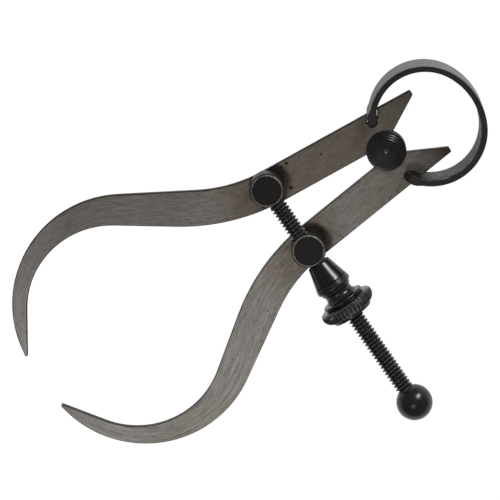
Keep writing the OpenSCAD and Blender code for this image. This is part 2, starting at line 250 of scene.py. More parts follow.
def leg_steel(name, post, post_shadow_spot, light, dark, stain, stain_reach, horn, tip):
    """Bare ground steel: a fine grain along the leg, brown stain round the roller, browner steel under the
    post, a painted shadow beside the post, and rust pits.

    It gives the eye a soft grey sheen that follows the leg's curve, warm and dull towards the fulcrum.
    """
    material, tree = new_material(name)
    place = add(tree, "ShaderNodeTexCoord").outputs["Object"]
    grain = add(tree, "ShaderNodeUVMap", {"uv_map": "grain"}).outputs[0]
    # Grinding lines about 0.4 mm wide and 5 mm long, drawn that coarse so that they show
    lines = drawn_out(tree, grain, 5, 0.4, 4.0, 0.68)
    grey = add(tree, "ShaderNodeMix", {"data_type": "RGBA", 6: linear(dark), 7: linear(light)}, {0: lines})
    # Broad clouds of thin brown stain, about 14 mm across
    clouds = add(tree, "ShaderNodeTexNoise", {"Scale": 1 / (14 * MM), "Detail": 4.0, "Roughness": 0.62},
                 {"Vector": place})
    cloud_share = add(tree, "ShaderNodeMapRange", {1: 0.44, 2: 0.72, 3: 0.0, 4: 0.4}, {0: clouds.outputs[0]})
    stained = add(tree, "ShaderNodeMix", {"data_type": "RGBA", 7: linear(THIN_STAIN)},
                  {0: cloud_share.outputs[0], 6: grey.outputs[2]})
    # The steel is browner and darker under the post, and the stain is heaviest round the roller, in patches
    # about 3 mm across
    from_post = add(tree, "ShaderNodeVectorMath", {"operation": "DISTANCE", 1: tuple(post)}, {0: place})
    near_post = add(tree, "ShaderNodeMapRange", {1: 4.5 * MM, 2: 15 * MM, 3: 0.85, 4: 0.0},
                    {0: from_post.outputs[1]})
    from_roller = add(tree, "ShaderNodeVectorMath", {"operation": "DISTANCE", 1: (0.0, 0.0, LEG_MIDDLE)},
                      {0: place})
    near_roller = add(tree, "ShaderNodeMapRange", {1: 5 * MM, 2: stain_reach, 3: stain, 4: 0.0},
                      {0: from_roller.outputs[1]})
    near = add(tree, "ShaderNodeMath", {"operation": "MAXIMUM"},
               {0: near_post.outputs[0], 1: near_roller.outputs[0]})
    patches = add(tree, "ShaderNodeTexNoise", {"Scale": 1 / (3.2 * MM), "Detail": 5.0, "Roughness": 0.7},
                  {"Vector": place})
    patch_share = add(tree, "ShaderNodeMapRange", {1: 0.36, 2: 0.66, 3: 0.35, 4: 1.0},
                      {0: patches.outputs[0]})
    brown_share = add(tree, "ShaderNodeMath", {"operation": "MULTIPLY"},
                      {0: near.outputs[0], 1: patch_share.outputs[0]})
    browned = add(tree, "ShaderNodeMix", {"data_type": "RGBA", 7: linear(HEAVY_STAIN)},
                  {0: brown_share.outputs[0], 6: stained.outputs[2]})
    # The horns are darker still, and the tips are rubbed bright by work
    along = add(tree, "ShaderNodeSeparateXYZ", None, {0: place})
    horn_share = add(tree, "ShaderNodeMapRange", {1: -3 * MM, 2: -13 * MM, 3: 0.0, 4: horn},
                     {0: along.outputs[0]})
    horned = add(tree, "ShaderNodeMix", {"data_type": "RGBA", 7: linear(HORN_STAIN)},
                 {0: horn_share.outputs[0], 6: browned.outputs[2]})
    tip_share = add(tree, "ShaderNodeMapRange", {1: 88 * MM, 2: 110 * MM, 3: 0.0, 4: tip},
                    {0: from_roller.outputs[1]})
    rubbed = add(tree, "ShaderNodeMix", {"data_type": "RGBA", 7: linear(RUBBED_STEEL)},
                 {0: tip_share.outputs[0], 6: horned.outputs[2]})
    # Oil and dirt have blackened the steel beside the post, on the fulcrum's side
    # Painted shadow of the post: a dark patch beside it, on the fulcrum's side, stands in for the post's
    # shadow and dark reflection in the steel
    from_post_shadow = add(tree, "ShaderNodeVectorMath", {"operation": "DISTANCE", 1: tuple(post_shadow_spot)}, {0: place})
    post_shadow_share = add(tree, "ShaderNodeMapRange", {1: 4.2 * MM, 2: 5.5 * MM, 3: 0.8, 4: 0.0},
                    {0: from_post_shadow.outputs[1]})
    post_shadowed = add(tree, "ShaderNodeMix", {"data_type": "RGBA", 7: linear(PAINTED_POST_SHADOW)},
                {0: post_shadow_share.outputs[0], 6: rubbed.outputs[2]})
    # Freckles of thin rust about 0.6 mm wide and 1.4 mm long, thickest along the edges
    freckles = drawn_out(tree, grain, 1.4, 0.6, 3.0, 0.6)
    freckle_share = add(tree, "ShaderNodeMapRange", {1: 0.54, 2: 0.68}, {0: freckles})
    off_line = add(tree, "ShaderNodeSeparateXYZ", None, {0: grain})
    from_middle = add(tree, "ShaderNodeMath", {"operation": "ABSOLUTE"}, {0: off_line.outputs[1]})
    edge_rust = add(tree, "ShaderNodeMapRange", {1: 3.0, 2: 4.9, 3: 0.34, 4: 0.72},
                    {0: from_middle.outputs[0]})
    rust_share = add(tree, "ShaderNodeMath", {"operation": "MULTIPLY"},
                     {0: freckle_share.outputs[0], 1: edge_rust.outputs[0]})
    rusted = add(tree, "ShaderNodeMix", {"data_type": "RGBA", 7: linear(FRECKLE_RUST)},
                 {0: rust_share.outputs[0], 6: post_shadowed.outputs[2]})
    # Rust pits up to half a millimetre across, one in each 3 mm square at most, and larger near the post
    cells = add(tree, "ShaderNodeTexVoronoi",
                {"voronoi_dimensions": "2D", "Scale": 1 / (3 * MM), "Randomness": 1.0}, {"Vector": place})
    pit_spread = add(tree, "ShaderNodeMapRange", {1: 0.62, 2: 0.9, 3: 0.02, 4: 0.11},
                     {0: cells.outputs["Color"]})
    pit_reach = add(tree, "ShaderNodeMapRange", {1: 6 * MM, 2: 20 * MM, 3: 1.9, 4: 0.7},
                    {0: from_post.outputs[1]})
    pit_size = add(tree, "ShaderNodeMath", {"operation": "MULTIPLY"},
                   {0: pit_spread.outputs[0], 1: pit_reach.outputs[0]})
    pit_depth = add(tree, "ShaderNodeMath", {"operation": "SUBTRACT"},
                    {0: pit_size.outputs[0], 1: cells.outputs["Distance"]})
    pit = add(tree, "ShaderNodeMapRange", {1: 0.0, 2: 0.03, 3: 0.0, 4: 0.9}, {0: pit_depth.outputs[0]})
    pitted = add(tree, "ShaderNodeMix", {"data_type": "RGBA", 7: linear(PIT_RUST)},
                 {0: pit.outputs[0], 6: rusted.outputs[2]})
    # Streaks about 0.8 mm wide and 14 mm long are more or less polished
    streaks = drawn_out(tree, grain, 14, 0.8, 2.0, 0.5)
    rough = add(tree, "ShaderNodeMapRange", {1: 0.2, 2: 0.8, 3: 0.4, 4: 0.53}, {0: streaks})
    height = add(tree, "ShaderNodeMath", {"operation": "SUBTRACT"}, {0: lines, 1: pit.outputs[0]})
    surface(tree, {"Metallic": 1.0}, pitted.outputs[2], rough.outputs[0], height.outputs[0], 0.25, 0.06 * MM)
    return material


def edge_steel(name, light, dark):
    """Sawn and filed edges of a steel strip, darkened with age.

    It gives the eye a dull, blotchy outline beside the ground faces.
    """
    material, tree = new_material(name)
    place = add(tree, "ShaderNodeTexCoord").outputs["Object"]
    # Tarnish in blotches about 2.5 mm across
    blotches = add(tree, "ShaderNodeTexNoise", {"Scale": 1 / (2.5 * MM), "Detail": 5.0, "Roughness": 0.65},
                   {"Vector": place}).outputs[0]
    colour = add(tree, "ShaderNodeMix", {"data_type": "RGBA", 6: linear(dark), 7: linear(light)},
                 {0: blotches})
    rough = add(tree, "ShaderNodeMapRange", {1: 0.3, 2: 0.7, 3: 0.4, 4: 0.62}, {0: blotches})
    surface(tree, {"Metallic": 1.0}, colour.outputs[2], rough.outputs[0], blotches, 0.2, 0.05 * MM)
    return material


def spring_strip(name, light, dark, rough_range, spot_size, spot_share, fork_shade):
    """Tempered spring strip: grey scale with fine lines along the strip, dark spots, and painted shade by the
    forks.

    It gives the eye an even slate grey, paler and smoother than the legs.
    """
    material, tree = new_material(name)
    place = add(tree, "ShaderNodeTexCoord").outputs["Object"]
    grain = add(tree, "ShaderNodeUVMap", {"uv_map": "grain"}).outputs[0]
    # Rolling lines about 0.4 mm wide and 9 mm long, drawn that coarse so that they show
    lines = drawn_out(tree, grain, 9, 0.4, 3.0, 0.6)
    spots = add(tree, "ShaderNodeTexNoise", {"Scale": 1 / spot_size, "Detail": 4.0, "Roughness": 0.65},
                {"Vector": place}).outputs[0]
    both = add(tree, "ShaderNodeMix", {0: spot_share}, {2: lines, 3: spots}).outputs[0]
    share = add(tree, "ShaderNodeMapRange", {1: 0.42, 2: 0.56}, {0: both})
    colour = add(tree, "ShaderNodeMix", {"data_type": "RGBA", 6: linear(dark), 7: linear(light)},
                 {0: share.outputs[0]})
    # Painted shade: the strip turns near black towards its forks, by this share, where they lie in shadow
    along = add(tree, "ShaderNodeSeparateXYZ", None, {0: place})
    fork_shade_share = add(tree, "ShaderNodeMapRange", {1: -7.5 * MM, 2: -3.5 * MM, 3: 0.0, 4: fork_shade},
                      {0: along.outputs[0]})
    fork_shaded = add(tree, "ShaderNodeMix", {"data_type": "RGBA", 7: linear(PAINTED_FORK_SHADE)},
                 {0: fork_shade_share.outputs[0], 6: colour.outputs[2]})
    rough = add(tree, "ShaderNodeMapRange", {1: 0.3, 2: 0.7, 3: rough_range[0], 4: rough_range[1]},
                {0: spots})
    # A dull scale over steel: half metal, and little shine at a glancing view
    settings = {"Metallic": 0.5, "Specular IOR Level": 0.15, "Specular Tint": linear(SCALE_SHINE)}
    surface(tree, settings, fork_shaded.outputs[2], rough.outputs[0], both, 0.2, 0.05 * MM)
    return material


def black_oxide(name, blacks, centre, across, ring_width, ring_share, rough_range, gloss, worn=None):
    """Black oxide on turned steel: tool rings about the axis, and bright steel where it has worn through.

    It gives the eye a deep satin black, with glints along edges. across keeps the two directions square to
    the axis; worn is the radius of a rubbed edge, half its width in metres, and how bare it is.
    """
    material, tree = new_material(name)
    place = add(tree, "ShaderNodeTexCoord").outputs["Object"]
    off = add(tree, "ShaderNodeVectorMath", {"operation": "SUBTRACT", 1: tuple(centre)}, {0: place})
    radius = across_axis(tree, off.outputs[0], across)[1]
    turns = add(tree, "ShaderNodeMath", {"operation": "MULTIPLY", 1: 2 * math.pi / ring_width}, {0: radius})
    rings = add(tree, "ShaderNodeMath", {"operation": "SINE"}, {0: turns.outputs[0]})
    # Uneven oxide in patches about 2 mm across
    patches = add(tree, "ShaderNodeTexNoise", {"Scale": 1 / (1.8 * MM), "Detail": 5.0, "Roughness": 0.65},
                  {"Vector": place}).outputs[0]
    height = add(tree, "ShaderNodeMath", {"operation": "MULTIPLY_ADD", 1: ring_share},
                 {0: rings.outputs[0], 2: patches}).outputs[0]
    share = add(tree, "ShaderNodeMapRange", {1: 0.1, 2: 0.95}, {0: height})
    colour = add(tree, "ShaderNodeMix", {"data_type": "RGBA", 6: linear(blacks[0]), 7: linear(blacks[1])},
                 {0: share.outputs[0]}).outputs[2]
    metal = None
    if worn:
        edge, half_width, bare = worn
        past_edge = add(tree, "ShaderNodeMath", {"operation": "SUBTRACT", 1: edge}, {0: radius})
        away = add(tree, "ShaderNodeMath", {"operation": "ABSOLUTE"}, {0: past_edge.outputs[0]})
        rubbed = add(tree, "ShaderNodeMapRange", {1: 0.3 * half_width, 2: half_width, 3: bare, 4: 0.0},
                     {0: away.outputs[0]})
        patchy = add(tree, "ShaderNodeMapRange", {1: 0.35, 2: 0.6, 3: 0.15, 4: 1.0}, {0: patches})
        metal = add(tree, "ShaderNodeMath", {"operation": "MULTIPLY"},
                    {0: rubbed.outputs[0], 1: patchy.outputs[0]}).outputs[0]
        colour = add(tree, "ShaderNodeMix", {"data_type": "RGBA", 7: linear(BARED_STEEL)},
                     {0: metal, 6: colour}).outputs[2]
    rough = add(tree, "ShaderNodeMapRange", {1: 0.3, 2: 0.7, 3: rough_range[0], 4: rough_range[1]},
                {0: patches})
    shader = surface(tree, {"Specular IOR Level": gloss}, colour, rough.outputs[0], height, 0.2, 0.06 * MM)
    if worn:
        tree.links.new(metal, shader.inputs["Metallic"])
    return material


def cad_shape(node, bevel, segments=2, clear=0.0):
    """A copy of a CAD node with its flat faces whole again and its sharp edges eased.

    Edges that come nearer than clear to the middle of the legs' thickness keep their corners.
    """
    shape = bmesh.new()
    shape.from_mesh(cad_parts[node].data)
    bmesh.ops.remove_doubles(shape, verts=shape.verts, dist=WELD)
    bmesh.ops.dissolve_limit(shape, angle_limit=math.radians(FLAT_ANGLE), verts=shape.verts,
                             edges=shape.edges)
    sharp = []
    for edge in shape.edges:
        near = min(abs(vert.co.z - LEG_MIDDLE) for vert in edge.verts)
        if near >= clear and edge.is_manifold and edge.calc_face_angle(0.0) > math.radians(SHARP_ANGLE):
            sharp.append(edge)
    bmesh.ops.bevel(shape, geom=sharp, offset=bevel, segments=segments, profile=0.5, affect="EDGES",
                    clamp_overlap=True)
    return shape


def turned(profile, segments):
    """A closed shape turned about Z from (radius, height) points, in metres."""
    shape = bmesh.new()
    rings = []
    for radius, height in profile:
        if radius < ON_AXIS:
            rings.append([shape.verts.new((0.0, 0.0, height))])
            continue
        ring = []
        for i in range(segments):
            angle = 2 * math.pi * i / segments
            ring.append(shape.verts.new((radius * math.cos(angle), radius * math.sin(angle), height)))
        rings.append(ring)
    pairs = list(zip(rings, rings[1:]))
    if len(rings[0]) > 1 and len(rings[-1]) > 1:
        pairs.append((rings[-1], rings[0]))
    for low, high in pairs:
        for i in range(segments):
            k = (i + 1) % segments
            if len(low) == 1:
                shape.faces.new((low[0], high[k], high[i]))
            elif len(high) == 1:
                shape.faces.new((low[i], low[k], high[0]))
            else:
                shape.faces.new((low[i], low[k], high[k], high[i]))
    bmesh.ops.recalc_face_normals(shape, faces=shape.faces)
    return shape


def arc_points(centre, radius, first, last, steps):
    """Points on an arc, as (radius, height) pairs; angles in degrees from the outward direction."""
    points = []
    for i in range(steps + 1):
        angle = math.radians(first + (last - first) * i / steps)
        points.append((centre[0] + radius * math.cos(angle), centre[1] + radius * math.sin(angle)))
    return points


def on_screw(y):
    """Turns +Z onto the screw's +Y and sets the origin on the screw's axis."""
    turn = Matrix.Rotation(math.radians(-90), 4, "X")
    return Matrix.Translation((SCREW_AXIS.x, y, SCREW_AXIS.z)) @ turn


def sized_tree(name, inputs):
    """An empty geometry tree with named inputs and one geometry output."""
    tree = bpy.data.node_groups.new(name, "GeometryNodeTree")
    for label, kind in inputs.items():
        tree.interface.new_socket(name=label, in_out="INPUT", socket_type="NodeSocket" + kind)
    tree.interface.new_socket(name="Geometry", in_out="OUTPUT", socket_type="NodeSocketGeometry")
    return tree, add(tree, "NodeGroupInput").outputs, add(tree, "NodeGroupOutput")


def dress(tree, shape, finish, result):
    """Ends a geometry tree with real faces that have their material."""
    real = add(tree, "GeometryNodeRealizeInstances", None, {"Geometry": shape})
    dressed = add(tree, "GeometryNodeSetMaterial", None, {"Geometry": real.outputs[0], "Material": finish})
    tree.links.new(dressed.outputs[0], result.inputs["Geometry"])


def grown(name, tree, values, start=None):
    """The plain mesh that a geometry tree makes from these sizes, and from a start mesh if it takes one."""
    carrier = bpy.data.objects.new(name, start or bpy.data.meshes.new(name))
    bpy.context.scene.collection.objects.link(carrier)
    modifier = carrier.modifiers.new("shape", "NODES")
    modifier.node_group = tree
    for item in tree.interface.items_tree:
        if item.in_out == "INPUT" and item.name in values:
            modifier[item.identifier] = values[item.name]
    graph = bpy.context.evaluated_depsgraph_get()
    made = bpy.data.meshes.new_from_object(carrier.evaluated_get(graph))
    carrier.modifiers.remove(modifier)
    bpy.data.objects.remove(carrier)
    return made


def thread_tree():
    """A tube whose wall follows a right-hand V thread: a rolled-up grid, with its radius set by the helix."""
    tree, size, result = sized_tree("screw_thread", {
        "Length": "Float", "Pitch": "Float", "Crest": "Float", "Root": "Float", "Segments": "Int",
        "Rings": "Int", "Finish": "Material"})
    grid = add(tree, "GeometryNodeMeshGrid", {"Size X": 1.0, "Size Y": 1.0},
               {"Vertices X": size["Segments"], "Vertices Y": size["Rings"]})
    place = add(tree, "GeometryNodeInputPosition")
    flat = add(tree, "ShaderNodeSeparateXYZ", None, {0: place.outputs[0]})
    round_share = add(tree, "ShaderNodeMath", {"operation": "ADD", 1: 0.5}, {0: flat.outputs[0]})
    long_share = add(tree, "ShaderNodeMath", {"operation": "ADD", 1: 0.5}, {0: flat.outputs[1]})
    angle = add(tree, "ShaderNodeMath", {"operation": "MULTIPLY", 1: 2 * math.pi},
                {0: round_share.outputs[0]})
    along = add(tree, "ShaderNodeMath", {"operation": "MULTIPLY"},
                {0: long_share.outputs[0], 1: size["Length"]})
    turns = add(tree, "ShaderNodeMath", {"operation": "DIVIDE"}, {0: along.outputs[0], 1: size["Pitch"]})
    helix = add(tree, "ShaderNodeMath", {"operation": "SUBTRACT"},
                {0: turns.outputs[0], 1: round_share.outputs[0]})
    wave = add(tree, "ShaderNodeMath", {"operation": "PINGPONG", 1: 0.5}, {0: helix.outputs[0]})
    # The V has small flats at its root and its crest
    radius = add(tree, "ShaderNodeMapRange", {1: 0.1, 2: 0.4},
                 {0: wave.outputs[0], 3: size["Root"], 4: size["Crest"]})
    cosine = add(tree, "ShaderNodeMath", {"operation": "COSINE"}, {0: angle.outputs[0]})
    sine = add(tree, "ShaderNodeMath", {"operation": "SINE"}, {0: angle.outputs[0]})
    x = add(tree, "ShaderNodeMath", {"operation": "MULTIPLY"}, {0: radius.outputs[0], 1: cosine.outputs[0]})
    y = add(tree, "ShaderNodeMath", {"operation": "MULTIPLY"}, {0: radius.outputs[0], 1: sine.outputs[0]})
    rolled = add(tree, "ShaderNodeCombineXYZ", None, {0: x.outputs[0], 1: y.outputs[0], 2: along.outputs[0]})
    moved = add(tree, "GeometryNodeSetPosition", None,
                {"Geometry": grid.outputs["Mesh"], "Position": rolled.outputs[0]})
    closed = add(tree, "GeometryNodeMergeByDistance", {"Distance": WELD}, {"Geometry": moved.outputs[0]})
    dress(tree, closed.outputs[0], size["Finish"], result)
    return tree


def knurl_tree():
    """Presses straight knurl grooves into the rim of a turned blank that stands on Z."""
    tree, size, result = sized_tree("rim_knurl", {
        "Blank": "Geometry", "Teeth": "Float", "Depth": "Float", "Foot": "Float", "Rim": "Float",
        "From": "Float", "Finish": "Material"})
    place = add(tree, "GeometryNodeInputPosition").outputs[0]
    parts = add(tree, "ShaderNodeSeparateXYZ", None, {0: place})
    angle = add(tree, "ShaderNodeMath", {"operation": "ARCTAN2"}, {0: parts.outputs[1], 1: parts.outputs[0]})
    turn = add(tree, "ShaderNodeMath", {"operation": "DIVIDE", 1: 2 * math.pi}, {0: angle.outputs[0]})
    tooth = add(tree, "ShaderNodeMath", {"operation": "MULTIPLY"}, {0: turn.outputs[0], 1: size["Teeth"]})
    wave = add(tree, "ShaderNodeMath", {"operation": "PINGPONG", 1: 0.5}, {0: tooth.outputs[0]})
    square, radius = across_axis(tree, place, UPRIGHT)
    rim = add(tree, "ShaderNodeMapRange", None, {0: radius, 1: size["Foot"], 2: size["Rim"]})
    height = add(tree, "ShaderNodeMath", {"operation": "SUBTRACT"}, {0: parts.outputs[2], 1: size["From"]})
    fade = add(tree, "ShaderNodeMapRange", {1: 0.0, 2: KNURL_FADE}, {0: height.outputs[0]})
    reach = add(tree, "ShaderNodeMath", {"operation": "MULTIPLY"}, {0: rim.outputs[0], 1: fade.outputs[0]})
    groove = add(tree, "ShaderNodeMath", {"operation": "MULTIPLY"}, {0: wave.outputs[0], 1: reach.outputs[0]})
    sink = add(tree, "ShaderNodeMath", {"operation": "MULTIPLY"}, {0: groove.outputs[0], 1: size["Depth"]})
    # The wave ends at a half, so twice that inwards is the whole depth
    inwards = add(tree, "ShaderNodeMath", {"operation": "MULTIPLY", 1: -2.0}, {0: sink.outputs[0]})
    outward = add(tree, "ShaderNodeVectorMath", {"operation": "NORMALIZE"}, {0: square})
    press = add(tree, "ShaderNodeVectorMath", {"operation": "SCALE"},
                {0: outward.outputs[0], "Scale": inwards.outputs[0]})
    pressed = add(tree, "GeometryNodeSetPosition", None,
                  {"Geometry": size["Blank"], "Offset": press.outputs[0]})
    dress(tree, pressed.outputs[0], size["Finish"], result)
    return tree


def even_shading(piece):
    """Lets the large faces set the shading at eased edges, so that flat faces look flat up to their edges."""
    modifier = piece.modifiers.new("even", "WEIGHTED_NORMAL")
    modifier.weight = LARGE_FACE_WEIGHT
    modifier.keep_sharp = True
    graph = bpy.context.evaluated_depsgraph_get()
    shaded = bpy.data.meshes.new_from_object(piece.evaluated_get(graph), preserve_all_data_layers=True,
                                             depsgraph=graph)
    piece.modifiers.remove(modifier)
    piece.data = shaded


def mesh_of(name, shape):
    """A mesh of a shape, which is then let go."""
    mesh = bpy.data.meshes.new(name)
    shape.to_mesh(mesh)
    shape.free()
    return mesh


def show(name, shape, materials, node, eased=False):
    """Makes a shown piece of a shape, in place of a CAD node; eased is for one whose edges are rounded."""
    mesh = mesh_of(name, shape)
    for material in materials:
        mesh.materials.append(material)
    mesh.polygons.foreach_set("use_smooth", [True] * len(mesh.polygons))
    mesh.set_sharp_from_angle(angle=math.radians(CREASE_EASED if eased else CREASE_PLAIN))
    piece = bpy.data.objects.new(name, mesh)
    bpy.context.scene.collection.objects.link(piece)
    if eased:
        even_shading(piece)
    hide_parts(node)
    return piece


def leg_line(side):
    """Points down the middle of a leg, which the grain follows, in millimetres."""
    middle = LEG_INNER_OFFSET + LEG_WIDTH / 2
    points = [(-GRAIN_BEHIND, middle), (GRAIN_STRAIGHT, middle)]
    for step in range(1, GRAIN_FLARE_STEPS + 1):
        angle = math.radians(GRAIN_FLARE_ANGLE * step / GRAIN_FLARE_STEPS)
        points.append((GRAIN_STRAIGHT + GRAIN_FLARE_RADIUS * math.sin(angle),
                       middle + GRAIN_FLARE_RADIUS * (1 - math.cos(angle))))
    heading = math.radians(GRAIN_FLARE_ANGLE)
    x = points[-1][0] + GRAIN_SLANT * math.cos(heading)
    y = points[-1][1] + GRAIN_SLANT * math.sin(heading)
    points.append((x, y))
    centre = (x + GRAIN_BELLY_RADIUS * math.sin(heading), y - GRAIN_BELLY_RADIUS * math.cos(heading))
    for step in range(1, GRAIN_BELLY_STEPS + 1):
        angle = heading - math.radians(GRAIN_BELLY_ANGLE * step / GRAIN_BELLY_STEPS)
        points.append((centre[0] - GRAIN_BELLY_RADIUS * math.sin(angle),
                       centre[1] + GRAIN_BELLY_RADIUS * math.cos(angle)))
    turn = Matrix.Rotation(math.radians(LEG_HALF_ANGLE), 2)
    placed = [turn @ Vector(p) for p in points]
    return [Vector((p.x, side * p.y)) for p in placed]


def place_on_line(spot, line, starts):
    """How far along a line a spot is, and how far off it."""
    best = None
    for k in range(len(line) - 1):
        way = line[k + 1] - line[k]
        share = (spot - line[k]).dot(way) / way.length_squared
        low = -GRAIN_PAST_END if k == 0 else 0.0
        high = GRAIN_PAST_END if k == len(line) - 2 else 1.0
        share = min(max(share, low), high)
        off = spot - line[k] - way * share
        if best is None or off.length < best[0]:
            across = off.length if way.cross(off) > 0 else -off.length
            best = (off.length, starts[k] + way.length * share, across)
    return best[1:]


def map_leg(shape, side):
    """Slices the leg finely and gives it a map that runs down its length, in millimetres."""
    for axis, low, high in LEG_SLICES:
        normal = Vector((0.0, 0.0, 0.0))
        normal[axis] = 1.0
        for i in range(int(low / LEG_SLICE), int(high / LEG_SLICE) + 1):
            everything = shape.verts[:] + shape.edges[:] + shape.faces[:]
            spot = normal * (i * LEG_SLICE + LEG_SLICE_SHIFT)
            bmesh.ops.bisect_plane(shape, geom=everything, plane_co=spot, plane_no=normal)
    line = leg_line(side)
    starts = [0.0]
    for a, b in zip(line, line[1:]):
        starts.append(starts[-1] + (b - a).length)
    places = {}
    for vert in shape.verts:
        places[vert.index] = place_on_line(Vector((vert.co.x, vert.co.y)) / MM, line, starts)
    layer = shape.loops.layers.uv.new("grain")
    for face in shape.faces:
        for loop in face.loops:
            along, across = places[loop.vert.index]
            loop[layer].uv = (along, across + (loop.vert.co.z - LEG_MIDDLE) / MM * 0.5)


def make_leg(node, body, side, post, **looks):
    """A leg with ground faces and darker filed edges."""
    shape = cad_shape(node, 0.24 * MM)
    shape.verts.index_update()
    map_leg(shape, side)
    shape.normal_update()
    for face in shape.faces:
        face.material_index = 0 if abs(face.normal.z) > GROUND_FACING else 1
    spot = Vector((post.x, post.y, LEG_MIDDLE))
    # Where the painted shadow of the post lies: a little beside the post, towards the fulcrum
    post_shadow_spot = spot + Vector((-2.2 * MM, -0.4 * MM, 0.0))
    faces = leg_steel("ground_steel_" + node, spot, post_shadow_spot, **looks)
    piece = show(node + "_steel", shape, [faces, LEG_EDGE], node, True)
    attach(piece, body)


def between(rows, place, column):
    """A value of a column at a place in a table of rows, in proportion between two rows."""
    for low, high in zip(rows, rows[1:]):
        if place <= high[0]:
            share = max(0.0, (place - low[0]) / (high[0] - low[0]))
            return low[column] + (high[column] - low[column]) * share
    return rows[-1][column]


def slice_fork(shape, side, centre, angle):
    """Cuts across one fork of the bow at an angle of its side, without taking anything away."""
    turn = math.radians(angle)
    across = Vector((-math.sin(turn), side * math.cos(turn), 0.0))
    faces = []
    for face in shape.faces:
        middle = face.calc_center_median()
        if middle.x > FORK_FROM and middle.y * side > 0:
            faces.append(face)
    edges = list(dict.fromkeys(edge for face in faces for edge in face.edges))
    verts = list(dict.fromkeys(vert for face in faces for vert in face.verts))
    bmesh.ops.bisect_plane(shape, geom=verts + edges + faces, plane_co=centre, plane_no=across)


def fill_notches(shape):
    """Swells the ends of the bow's strip, thinned in the solid, until they fill the legs' notches."""
    middle_radius = BOW_SIDE_RADIUS - BOW_THICKNESS / 2
    for side in (1, -1):
        centre = Vector((-BOW_BACK, side * BOW_SPLIT, 0.0)) * MM
        for angle in FORK_SLICES:
            slice_fork(shape, side, centre, angle)
        for vert in shape.verts:
            spot = (vert.co - centre) / MM
            angle = math.degrees(math.atan2(spot.y * side, spot.x))
            if vert.co.y * side < 0 or vert.co.x < FORK_FROM or angle > FORK_FILL[-1][0]:
                continue
            radius = math.hypot(spot.x, spot.y)
            off = radius - middle_radius
            taper = min(max((angle - PRONG_END_ANGLE) / PRONG_TAPER, 0.0), 1.0)
            half = (PRONG_END + (BOW_THICKNESS - PRONG_END) * taper) / 2
            reach = between(FORK_FILL, angle, 1 if off > 0 else 2)
            grown_radius = middle_radius + off * reach / half
            vert.co.x = centre.x + spot.x * grown_radius / radius * MM
            vert.co.y = centre.y + spot.y * grown_radius / radius * MM


def map_bow(shape):
    """Marks the strip's outside, inside and rim, and gives it a map that runs along it, in millimetres."""
    layer = shape.loops.layers.uv.new("grain")
    for face in shape.faces:
        middle = face.calc_center_median()
        outward = face.normal.dot(middle - BOW_CENTRE)
        if abs(face.normal.z) > RIM_FACING or middle.x > FORK_CUT_ENDS:
            face.material_index = 2
        else:
            face.material_index = 0 if outward > 0 else 1
        middle -= BOW_CENTRE
        middle_angle = math.atan2(middle.y, -middle.x)
        for loop in face.loops:
            spot = loop.vert.co - BOW_CENTRE
            angle = math.atan2(spot.y, -spot.x)
            if angle - middle_angle > math.pi:
                angle -= 2 * math.pi
            if middle_angle - angle > math.pi:
                angle += 2 * math.pi
            loop[layer].uv = (angle * BOW_MAP_RADIUS, spot.z / MM)


def along_bow(angle):
    """The direction along the bow at an angle from its open side, past the upper leg."""
    turn = math.radians(angle)
    return Vector((-math.sin(turn), -math.cos(turn), 0.0))


def bow_seam(shape, wanted):
    """An angle near the wanted one, between two creases of the strip, and the strip's radius there."""
    spots = []
    for vert in shape.verts:
        x = vert.co.x + BOW_BACK * MM
        spots.append((math.degrees(math.atan2(-vert.co.y, x)) % 360, math.hypot(x, vert.co.y)))
    below = max(angle for angle, radius in spots if angle <= wanted)
    above = min(angle for angle, radius in spots if angle > wanted)
    near = [radius for angle, radius in spots if below - 2 < angle < above + 2]
    return (below + above) / 2, min(near) + (max(near) - min(near)) * BEND_LINE


def bow_piece(shape, low, high):
    """A copy of the bow between two angles, with its cut ends closed."""
    piece = shape.copy()
    centre = Vector((-BOW_BACK * MM, 0.0, 0.0))
    for angle, side in ((high, 1), (low, -1)):
        everything = piece.verts[:] + piece.edges[:] + piece.faces[:]
        bmesh.ops.bisect_plane(piece, geom=everything, plane_co=centre, plane_no=along_bow(angle) * side,
                               clear_outer=True)
    open_edges = [edge for edge in piece.edges if edge.is_boundary]
    ends = bmesh.ops.holes_fill(piece, edges=open_edges, sides=0)
    for face in ends["faces"]:
        face.material_index = 2
    return piece


def blend_bow(piece):
    """Bakes the placement of one piece of the bow into its mesh."""
    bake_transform(piece)


def make_bow():
    """The forked bow spring, which bends round its loop between the two legs' notches."""
    shape = cad_shape("bow_spring", 0.32 * MM, 3, 1.5 * MM)
    fill_notches(shape)
    shape.normal_update()
    map_bow(shape)
    outside = spring_strip("spring_steel_outside", light="#838383", dark="#666665", rough_range=(0.34, 0.5),
                           spot_size=2.2 * MM, spot_share=0.25, fork_shade=0.15)
    # The inside takes nearly all of the painted shade by the forks
    inside = spring_strip("spring_steel_inside", light="#787875", dark="#2E2E2D", rough_range=(0.4, 0.58),
                          spot_size=1.5 * MM, spot_share=0.85, fork_shade=0.95)
    rim = edge_steel("spring_steel_rim", "#454240", "#2A2826")
    seams = []
    for number in range(BOW_PIECES + 1):
        seams.append(bow_seam(shape, BEND_START + (360 - 2 * BEND_START) * number / BOW_PIECES))
    for number in range(BOW_PIECES):
        low, high = seams[number:number + 2]
        cut_low = low[0] if number > 0 else 0.0
        cut_high = high[0] if number < BOW_PIECES - 1 else 360.0
        strip = bow_piece(shape, cut_low, cut_high)
        piece = show("bow_spring_strip_" + str(number + 1), strip, [outside, inside, rim], "bow_spring",
                     True)
        blend_bow(piece)
    shape.free()


